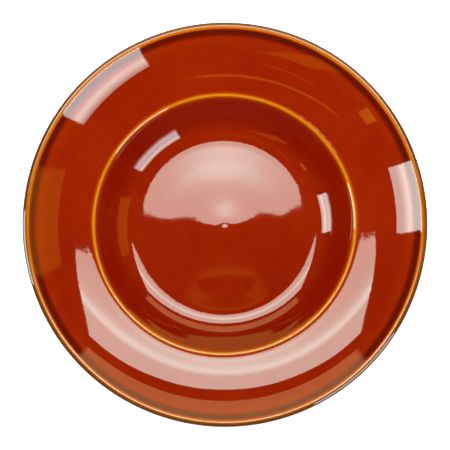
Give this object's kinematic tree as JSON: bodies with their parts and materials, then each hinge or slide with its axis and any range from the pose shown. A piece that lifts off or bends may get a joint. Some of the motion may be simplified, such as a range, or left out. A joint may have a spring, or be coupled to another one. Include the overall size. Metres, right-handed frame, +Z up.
{
  "type": "evaporating dish",
  "caption": "Shallow round glazed stoneware dish with a deep flat-bottomed well, a broad upswept rim, a rounded lip and a turned foot ring; holds liquid over a wide open surface.",
  "frame": {"origin": "centre of the foot ring's tread, on the plane the dish stands on", "axes": "+Z up along the axis of revolution, out of the open well; +X and +Y are any two square radial directions"},
  "size_m": [0.23, 0.23, 0.042],
  "materials": {
    "clay": "bare fired clay, matt, fine grain",
    "amber_glaze": "glossy transparent honey-brown glaze, gold where thin and dark brown where pooled"
  },
  "bodies": {
    "root": {"clay_body": "clay", "glaze_coat": "amber_glaze", "foot_recess_glaze": "amber_glaze"}
  },
  "joints": []
}
